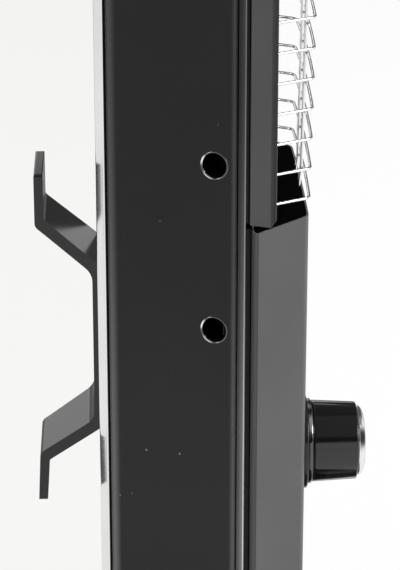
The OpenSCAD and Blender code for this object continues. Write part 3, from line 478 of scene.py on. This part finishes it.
def outwards(points, faces):
    """The faces turned so that they enclose a positive volume: the sum of a . (b x c) over their triangles."""
    volume = 0.0
    for group in faces:
        a, b = points[group[:, 0]], points[group[:, 1]]
        for k in range(2, group.shape[1]):
            c = points[group[:, k]]
            volume += np.einsum("ij,ij->i", a, np.cross(b, c)).sum()
            b = c
    return points, [group[:, ::-1] for group in faces] if volume < 0 else faces


def lofted(rings):
    """A closed skin through rings of points: quads between rings and a fan to the middle of each end ring."""
    count, around = rings.shape[:2]
    points = np.concatenate([rings.reshape(-1, 3), rings[:1].mean(1), rings[-1:].mean(1)])
    first, last, last_ring = count * around, count * around + 1, (count - 1) * around
    j = np.arange(around)
    after = (j + 1) % around
    start = np.stack([np.full(around, first), after, j], -1)
    end = np.stack([np.full(around, last), last_ring + j, last_ring + after], -1)
    return outwards(points, [quads(count, around), start, end])


def lofted_marks(marks):
    """The marks of a lofted skin, given per ring and place round it; its two end middles have none."""
    return np.concatenate([marks.ravel(), np.zeros(2)])


def ring(rings):
    """A closed skin whose last ring joins its first."""
    return outwards(rings.reshape(-1, 3), [quads(*rings.shape[:2], joined=True)])


def piece(name, shapes, finish, body="heater", replaces=(), marks=None):
    """One mesh object from several (points, groups of faces); marks are numbers per point, kept as an attribute."""
    points = np.concatenate([shape_points for shape_points, _ in shapes])
    loops, sizes, base = [], [], 0
    for shape_points, groups in shapes:
        for group in groups:
            loops.append((group + base).ravel())
            sizes.append(np.full(len(group), group.shape[1]))
        base += len(shape_points)
    loops, sizes = np.concatenate(loops), np.concatenate(sizes)
    data = bpy.data.meshes.new(name)
    data.vertices.add(len(points))
    data.vertices.foreach_set("co", points.astype(np.float32).ravel())
    data.loops.add(len(loops))
    data.loops.foreach_set("vertex_index", loops.astype(np.int32))
    data.polygons.add(len(sizes))
    data.polygons.foreach_set("loop_start", np.concatenate([[0], np.cumsum(sizes)[:-1]]).astype(np.int32))
    data.update(calc_edges=True)
    data.validate()
    if marks is not None:
        data.attributes.new("mark", "FLOAT", "POINT").data.foreach_set("value", marks.astype(np.float32))
    data.shade_smooth()
    return finished(linked(name, data), finish, body, replaces)


def round_angles(count):
    """Evenly spread angles of one full turn."""
    return np.linspace(0, 2 * np.pi, count, endpoint=False)


def rod(path, radius, side, around=WIRE_SIDES):
    """A round wire: circles of the given radius, square to the path, with side as a fixed direction across it."""
    along = np.gradient(path, axis=0)
    along /= np.linalg.norm(along, axis=1, keepdims=True)
    across = np.broadcast_to(np.asarray(side, float), path.shape)
    across = across - (across * along).sum(1, keepdims=True) * along
    across /= np.linalg.norm(across, axis=1, keepdims=True)
    up = np.cross(along, across)
    angle = round_angles(around)[None, :, None]
    circle = np.cos(angle) * across[:, None] + np.sin(angle) * up[:, None]
    return lofted(path[:, None] + np.broadcast_to(radius, len(path))[:, None, None] * circle)


def bent(corners, radius, step):
    """Points along straight runs, step apart, with each inner corner turned into an arc of the radius.

    An arc's points turn from one radius to the other, weighted by the sines of the angles left and made.
    """
    corners = np.asarray(corners, float)
    runs, start = [], corners[0]
    for before, here, after in zip(corners[:-2], corners[1:-1], corners[2:]):
        u = (before - here) / np.linalg.norm(before - here)
        v = (after - here) / np.linalg.norm(after - here)
        half = math.acos(np.clip(u @ v, -1, 1)) / 2
        reach = radius / math.tan(half)
        centre = here + (u + v) / np.linalg.norm(u + v) * radius / math.sin(half)
        a, b = here + u * reach - centre, here + v * reach - centre
        sweep = math.pi - 2 * half
        t = np.linspace(0, 1, BEND_STEPS + 1)[:, None]
        arc = centre + (np.sin((1 - t) * sweep) * a + np.sin(t * sweep) * b) / math.sin(sweep)
        run = max(2, int(np.linalg.norm(arc[0] - start) / step))
        runs.append(start + (arc[0] - start) * np.linspace(0, 1, run, endpoint=False)[:, None])
        runs.append(arc[:-1])
        start = arc[-1]
    run = max(2, int(np.linalg.norm(corners[-1] - start) / step))
    runs.append(start + (corners[-1] - start) * np.linspace(0, 1, run + 1)[:, None])
    return np.concatenate(runs)


def near(path, places, spread):
    """1 at the nearest of some places along a path and falling as a bell curve away from them."""
    gap = np.linalg.norm(path[:, None] - np.asarray(places)[None], axis=2).min(1)
    return np.exp(-((gap / spread) ** 2))


def revolved(profile, around, shift=None):
    """A profile of (radius, height) turned about the Z axis; shift(angle, radius, height) is added to the radius."""
    angle = round_angles(around)[None]
    radius, height = (np.broadcast_to(v[:, None], (len(profile), around)) for v in np.asarray(profile, float).T)
    if shift is not None:
        radius = radius + shift(angle, radius, height)
    return np.stack([radius * np.cos(angle), radius * np.sin(angle), height], -1)


def bell(angle, middle, reach):
    """1 at an angle in degrees and falling to 0 past its reach, as a flat-topped bell curve."""
    away = np.degrees(np.angle(np.exp(1j * (angle - math.radians(middle)))))
    return np.exp(-((away / reach) ** 4))


def arc_points(centre, radius, start, end, steps):
    """Points of an arc in degrees, in the plane of a profile."""
    angle = np.radians(np.linspace(start, end, steps))
    return np.stack([centre[0] + radius * np.cos(angle), centre[1] + radius * np.sin(angle)], -1)


# Wire guard --------------------------------------------------------------------

BOW_R = ((GUARD_TOP - COVER_TOP) ** 2 / 4 + GUARD_BOW**2) / (2 * GUARD_BOW)
WIRE_STEP = 1.5 * MM
STAND_WELD = 1.9 * MM  # how far a weld's swelling spreads along a wire
BAR_WELD = 2.3 * MM
CROSS_WELD = 1.1 * MM
WIRE_SWELL = 0.25
STAND_SWELL = 0.2
STAND_ENDS = 3 * MM  # how far the uprights and bars run into the covers
STAND_POINTS = 330


def bow(z):
    """How far the guard stands forward at a height: an arc of a large circle."""
    return np.sqrt(BOW_R**2 - (z - GUARD_MID) ** 2) - BOW_R + GUARD_BOW


def front_bow(x):
    """How far a level wire stands forward of its corners at a place across the front: a flat parabola."""
    return FRONT_BOW * np.clip(1 - (x / GUARD_HALF_W) ** 2, 0, 1)


def leg_point(y, side=0.0):
    """A point of the guard's right side at a distance y before the centre, moved inwards by side."""
    inwards = np.array([-math.cos(LEG_ANGLE), math.sin(LEG_ANGLE)])
    return np.array([GUARD_HALF_W + (GUARD_Y - y) * math.tan(LEG_ANGLE), -y]) + inwards * side


def guard():
    """Level wires on uprights and side bars; each crossing swells as a bell curve along both wires."""
    inside = WIRE_R + UPRIGHT_R + WELD_GAP
    stands = [np.array([x, -GUARD_Y - front_bow(x) + inside]) for x in (-UPRIGHT_X, UPRIGHT_X)]
    bar = leg_point(SIDE_BAR_Y, -(WIRE_R + BAR_R + WELD_GAP))
    mirror = np.array([-1.0, 1.0])
    bars = [bar, bar * mirror]
    leg_end = leg_point(LEG_END_Y)
    outline = [leg_end * mirror, (-GUARD_HALF_W, -GUARD_Y), (GUARD_HALF_W, -GUARD_Y), leg_end]
    level = bent(outline, WIRE_BEND_R, WIRE_STEP)
    level[:, 1] -= front_bow(level[:, 0])
    welds = near(level, stands, STAND_WELD) + near(level, bars, BAR_WELD)
    swell = WIRE_R * (1 + WIRE_SWELL * welds**2)
    count = int((GUARD_TOP - COVER_TOP - 2 * FIRST_WIRE) / WIRE_PITCH) + 1
    heights = COVER_TOP + FIRST_WIRE + np.arange(count) * WIRE_PITCH
    rows = [
        rod(np.column_stack([level[:, 0], level[:, 1] - bow(z), np.full(len(level), z)]), swell, (0, 0, 1))
        for z in heights]
    row_marks = lofted_marks(np.repeat(np.clip(welds, 0, 1), WIRE_SIDES))
    piece("guard_wires", rows, WIRE, replaces=("guard_rows",), marks=np.tile(row_marks, count))

    z = np.linspace(COVER_TOP - STAND_ENDS, GUARD_TOP + STAND_ENDS, STAND_POINTS)
    touch = np.exp(-((np.abs(z[:, None] - heights[None]).min(1) / CROSS_WELD) ** 2))
    beyond = np.clip((np.abs(z - GUARD_MID) - (GUARD_MID - COVER_TOP - FIRST_WIRE)) / FIRST_WIRE, 0, 1)
    marks = np.tile(lofted_marks(np.repeat(touch, WIRE_SIDES)), 2)
    for name, places, radius, node in (
        ("guard_stands", stands, UPRIGHT_R, "guard_uprights"), ("guard_bars", bars, BAR_R, "guard_side_bars")
    ):
        shapes = []
        for x, y in places:
            path = np.column_stack([np.full(len(z), x), y - bow(z) + front_bow(x) * beyond, z])
            shapes.append(rod(path, radius * (1 + STAND_SWELL * touch), (1, 0, 0)))
        piece(name, shapes, WIRE, replaces=(node,), marks=marks)


guard()


# Rear cover's rolled edges and the black bead under them, painted shade of the gap -----

def rear_edges():
    """Beads of round section along the rear cover's two upright edges, and a black bead between cover and housing as
    painted shade of the gap.
    """
    z = np.linspace(HOUSING_Z0 + 1 * MM, HOUSING_Z1 - 1 * MM, 12)
    for name, finish, x, y, radius in (
        ("rear_cover_hems", REAR, 42.0, 43.2, 0.62), ("rear_cover_gap_shade", GAP_SHADE, 41.9, 42.3, 0.3)
    ):
        paths = [np.column_stack([np.full(len(z), side * x * MM), np.full(len(z), y * MM), z]) for side in (-1, 1)]
        piece(name, [rod(path, radius * MM, (1, 0, 0), 16) for path in paths], finish)


rear_edges()


# Knob, its cap and its collar --------------------------------------------------

AXIS_R = 0.02  # of the smallest ring round the axis, in mm
KNOB_AROUND = 288
TURNED_AROUND = 128
KNOB_GAP = 0.35 * MM  # between the collar and the knob


def turned(profile, rear, around=TURNED_AROUND, shift=None):
    """A profile of (radius, distance forward) in mm, turned about the knob's axis, from rear before the centre."""
    across, up, ahead = np.moveaxis(revolved(np.asarray(profile) * MM, around, shift), -1, 0)
    return np.stack([across, -rear - ahead, KNOB_Z + up], -1)


def knob():
    """A turned cup with a soft front edge and a pointer groove cut in its top by a narrow bell curve of the angle."""
    rear = -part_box("dial_ring")[0].y + KNOB_GAP
    deep = (KNOB_FRONT - rear) / MM
    foot_r, front_r, edge_r = 20.5, 19.4, 0.8
    hub_r, hub_end, hollow = 6.5, -2.2, deep - 3.6
    profile = np.concatenate([
        [(3.06, hub_end), (hub_r, hub_end), (hub_r, hollow), (front_r - 3.2, hollow)],
        [(foot_r - 2.5, 0.5), (foot_r - 2.1, 0), (foot_r - 0.4, 0), (foot_r, 0.5), (foot_r - 0.04, 1.5)],
        arc_points((front_r - edge_r, deep - edge_r), edge_r, 2, 90, 6),
        [(AXIS_R, deep)],
    ])

    def groove(angle, radius, height):
        """What the groove takes off the radius: half a millimetre at its middle, from 5 mm before the foot on."""
        depth = 0.5 * MM * np.clip(height / MM - 4, 0, 1) * (radius > 17 * MM)
        return -depth * bell(angle, 90, math.degrees(0.85 / 19))

    piece("knob_cup", [lofted(turned(profile, rear, KNOB_AROUND, groove))], KNOB, "control", ("knob",))


def cap():
    """A turned dome: a short rim, a quarter ellipse over it, and a dished middle."""
    rim, high, dome_wide, dome_high = 17.6, 4.0, 7.0, 3.4
    turn = np.linspace(0, np.pi / 2, 14)
    profile = np.concatenate([
        [(AXIS_R, 0), (rim - 0.3, 0)],
        np.stack([rim - dome_wide * (1 - np.cos(turn)), high - dome_high * (1 - np.sin(turn))], -1),
        [(9.4, high), (9.0, high - 0.1), (8.2, high - 1.0), (7.8, high - 1.2), (4, high - 1.25), (AXIS_R, high - 1.3)],
    ])
    radius, height = profile.T
    # A dark matt patch on the dome, at one place round it
    dark_patch = ((radius > 9.5) & (height > 0.9))[:, None] * bell(round_angles(TURNED_AROUND), 151, 19)[None]
    shape = lofted(turned(profile, -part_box("knob_cap")[1].y))
    piece("knob_cap_disc", [shape], CAP, "control", ("knob_cap",), marks=lofted_marks(dark_patch))


def dial():
    """A turned flange against the cover, and a metal ring between the flange and the knob with painted highlights at
    two places round it.
    """
    rear = -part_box("dial_ring")[1].y
    high = (-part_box("dial_ring")[0].y - rear) / MM
    step = high - 2.2
    flange = [
        (7.2, 0), (23.2, 0), (23.6, 0.3), (23.6, step - 0.5), (23.45, step - 0.2), (23.1, step), (7.2, step)]
    trim = [(8, step), (21.2, step), (21.35, step + 0.2), (21.3, high - 0.3), (21.05, high), (8, high)]
    around = round_angles(TURNED_AROUND)
    # Painted highlights at two places round the ring
    painted_highlight = np.tile(bell(around, 132, 12) + bell(around, 102, 5), len(trim))
    piece("dial_flange", [ring(turned(flange, rear))], DIAL, replaces=("dial_ring",))
    piece("dial_trim", [ring(turned(trim, rear))], EYELET, marks=painted_highlight)


knob()
cap()
dial()


# Eyelets of the side holes -----------------------------------------------------

EYELET_AROUND = 64
EYELET_PROFILE = np.array([
    (6.85, -0.05), (6.8, 0.1), (6.65, 0.24), (6.45, 0.32), (6.25, 0.3), (6.05, 0.2),
    (5.9, 0.04), (5.78, -0.2), (5.72, -0.5), (5.7, -0.95), (6.0, -0.95), (6.05, -0.05)]) * MM


def eyelets():
    """A thin rolled ring round each side hole: an arch from the panel, over a low crest and down into the hole."""
    turned_profile = revolved(EYELET_PROFILE, EYELET_AROUND)
    upright = np.array([0.0, 0.0, 1.0])
    shapes = []
    for mount in frame["record"]["mounts"]:
        if mount["name"].startswith("side_hole"):
            axis = np.array(mount["axis"], float)
            mouth = np.array(mount["pos_m"]) + axis * mount["dims"]["length_mm"] / 2 * MM
            shapes.append(ring(mouth + turned_profile @ np.array([np.cross(upright, axis), upright, axis])))
    around = round_angles(EYELET_AROUND)
    # Painted highlights at two places round each ring
    painted_highlight = np.tile(bell(around, 158, 20) + 0.8 * bell(around, 238, 22), len(EYELET_PROFILE) * len(shapes))
    piece("side_hole_eyelets", shapes, EYELET, marks=painted_highlight)


eyelets()


# Carried-over nodes ------------------------------------------------------------

for node, finish, width, segments in (
    ("base_cover", BASE, 0.4, 2), ("base_plate", ZINC, 0.3, 1), ("base_weight", IRON, 0.8, 2),
    ("base_feet", RUBBER, 0.6, 2), ("tip_switch", PALE, 0.4, 2), ("tower_foot", MATT_BLACK, 0.6, 2),
    ("housing_shell", HOUSING, 0.2, 2), ("side_bushes", INNER_BLACK_SHADE, 0.35, 2), ("rear_spacers", MATT_BLACK, 0.2, 1),
    ("cord_bush", MATT_BLACK, 0.3, 2), ("cord_bracket", BRACKET, 1.0, 4), ("front_chassis", CHASSIS, 0.5, 3),
    ("side_frame_left", FRAME, 0.28, 2), ("side_frame_right", FRAME, 0.28, 2), ("lower_cover", COVER, 0.25, 2),
    ("lower_sill", INNER_BLACK_SHADE, 0.35, 2), ("upper_cover", COVER, 0.25, 2), ("upper_sill", INNER_BLACK_SHADE, 0.35, 2),
    ("top_cap", MATT_BLACK, 0.8, 3), ("lamp_plate_lower", ZINC, 0.2, 1), ("lamp_plate_upper", ZINC, 0.2, 1),
    ("lamp_ends", CERAMIC, 0.6, 2), ("thermal_cutout", ZINC, 0.3, 2), ("terminal_block", CERAMIC, 0.5, 2),
    ("switch_body", PALE, 0.4, 2), ("switch_nut", BRASS, 0.3, 2), ("rear_screws", SCREW, 0.4, 2),
    ("bracket_screws", DARK_SCREW, 0.3, 2), ("base_screws", SCREW, 0.4, 2), ("foot_screws", SCREW, 0.4, 2),
):
    softened(node, finish, width, segments)
softened("switch_shaft", ZINC, 0.3, 2, "control")
softened("tip_plunger", PALE, 0.4, 2, "plunger")

for node, finish in (
    ("rear_cover", REAR), ("reflector", REFLECTOR), ("quartz_tubes", QUARTZ), ("carbon_filaments", CARBON),
    ("lamp_leads", SLEEVE), ("tip_spring", ZINC),
):
    shown = frame["nodes"][node]
    shown.data.materials.clear()
    shown.data.materials.append(finish.material)


# Camera, light and floor -------------------------------------------------------

PHOTO_HEIGHT = 570
FOCAL_LENGTH = 2406  # in pixels of the photograph
SENSOR = 36
LENS_PLACE = (-1.09883, 0.03745, 0.69597)
LENS_DOWN = math.radians(20.9)
LENS_TURNED = math.radians(2.1)

ALL_SEEN = ("Is Camera Ray", "Is Glossy Ray", "Is Transmission Ray")
ROOM_LIGHT = 0.6
SWEEP_END = (0.24, 0.34)  # the sine of the height where the white sweep turns to ceiling
CEILING, CEILING_DARK = grey(0.25), grey(0.03)
FAR_CORNER = grey(0.1)

FLOOR_WHITE, FLOOR_REAR = grey(0.99), (0.905, 0.905, 0.89, 1.0)
FLOOR_FAR_SIDE = grey(0.2)
FLOOR_PLAIN = 0.86  # the plain part of what is seen; the rest is lit and keeps the shadow
FLOOR_RADII = (0.4, 1.2, 3.0, 8.0, 20.0)
FLOOR_AROUND = 96


def camera():
    """The photograph's own view: how far the lens looks down, and how far it is turned to the front."""
    ahead = Vector((
        math.cos(LENS_DOWN) * math.cos(LENS_TURNED), -math.cos(LENS_DOWN) * math.sin(LENS_TURNED),
        -math.sin(LENS_DOWN)))
    right = Vector((-math.sin(LENS_TURNED), -math.cos(LENS_TURNED), 0.0))
    data = bpy.data.cameras.new("camera")
    data.sensor_fit = "VERTICAL"
    data.sensor_width = data.sensor_height = SENSOR
    data.lens = SENSOR * FOCAL_LENGTH / PHOTO_HEIGHT
    data.clip_start, data.clip_end = 0.05, 60
    made = linked("camera", data)
    turn = Matrix((right, right.cross(ahead), -ahead)).transposed().to_4x4()
    made.matrix_world = Matrix.Translation(LENS_PLACE) @ turn
    bpy.context.scene.camera = made


def softbox(name, place, target, size, watts, mirrored=True):
    """An area light that faces a target; mirrored says whether gloss shows it."""
    data = bpy.data.lights.new(name, "AREA")
    data.shape = "RECTANGLE"
    data.size, data.size_y = size
    data.energy = watts
    made = linked(name, data)
    made.location = place
    made.visible_glossy = mirrored
    made.rotation_mode = "QUATERNION"
    made.rotation_quaternion = (Vector(target) - Vector(place)).to_track_quat("-Z", "Y")


def surroundings():
    """A light room. The camera sees white. Gloss sees a low white sweep under a dim ceiling.

    The ceiling is darkest behind the camera, and the room is dark past the object's far front corner.
    """
    world = bpy.data.worlds.new("studio")
    world.use_nodes = True
    room = Nodes(world.node_tree)
    room.tree.nodes.clear()
    direction = room.node("ShaderNodeTexCoord", output="Generated")
    rise = room.node("ShaderNodeSeparateXYZ", inputs={0: direction}, output="Z")
    behind_camera = room.towards(direction, 205, 0.8, 0.9) * rise.ramp(0.45, 0.6, 1.0, 0.0)
    mirrored = room.mixed(rise.ramp(*SWEEP_END), grey(1.0), room.mixed(behind_camera, CEILING, CEILING_DARK))
    mirrored = room.mixed(room.towards(direction, -30, 0.9, 0.955), mirrored, FAR_CORNER)
    tone = room.mixed(room.any_ray("Is Glossy Ray"), grey(1.0), mirrored)
    even = room.node("ShaderNodeBackground", inputs={"Color": grey(1.0), "Strength": ROOM_LIGHT})
    white = room.node("ShaderNodeBackground", inputs={"Color": tone, "Strength": 1.0})
    blend = room.node("ShaderNodeMixShader", inputs={0: room.any_ray(*ALL_SEEN), 1: even, 2: white})
    room.node("ShaderNodeOutputWorld", inputs={"Surface": blend})
    bpy.context.scene.world = world


def floor():
    """A pale floor, nearly white, greyer behind the object, and partly lit so that it keeps the shadow.

    Gloss alone sees a darker zone on it, on the object's far side.
    """
    flat = np.column_stack([FLOOR_RADII, np.zeros(len(FLOOR_RADII))])
    points = np.concatenate([revolved(flat, FLOOR_AROUND).reshape(-1, 3), [[0, 0, 0]]])
    j = np.arange(FLOOR_AROUND)
    middle = np.stack([np.full(FLOOR_AROUND, len(points) - 1), j, (j + 1) % FLOOR_AROUND], -1)
    upward = np.flip(quads(len(FLOOR_RADII), FLOOR_AROUND), 1)
    data = bpy.data.meshes.new("floor")
    data.from_pydata(points.tolist(), [], upward.tolist() + middle.tolist())
    made = linked("floor", data)
    finish = Finish("pale_floor", "", Base_Color=grey(0.8), Roughness=0.9, Specular_IOR_Level=0.1)
    tone = finish.mixed(finish.along("Y").ramp(-0.06, 0.06), FLOOR_WHITE, FLOOR_REAR)
    away = finish.node("ShaderNodeVectorMath", {"operation": "LENGTH"}, {0: finish.place}, output="Value")
    far_side = finish.towards(finish.place, 0, 0.75, 0.9) * away.ramp(0.1, 0.3) * finish.any_ray("Is Glossy Ray")
    tone = finish.mixed(far_side, tone, FLOOR_FAR_SIDE)
    plain = finish.node("ShaderNodeEmission", inputs={"Color": tone, "Strength": 1.0})
    lit = Value(finish, finish.shader.outputs[0])
    seen = finish.any_ray(*ALL_SEEN) * FLOOR_PLAIN
    blend = finish.node("ShaderNodeMixShader", inputs={0: seen, 1: lit, 2: plain})
    finish.fill(finish.tree.nodes["Material Output"].inputs["Surface"], blend)
    data.materials.append(finish.material)


camera()
surroundings()
floor()
softbox("front_light", (-1.1, -2.9, 1.9), target=(0, 0, 0.4), size=(1.6, 1.6), watts=62)
softbox("top_light", (0.3, 0.4, 2.8), target=(0, 0, 0.3), size=(2.0, 2.0), watts=40, mirrored=False)
softbox("rear_light", (-1.4, 2.6, 1.3), target=(0, 0, 0.4), size=(0.8, 1.0), watts=26)

bpy.context.scene.view_settings.view_transform = "Standard"
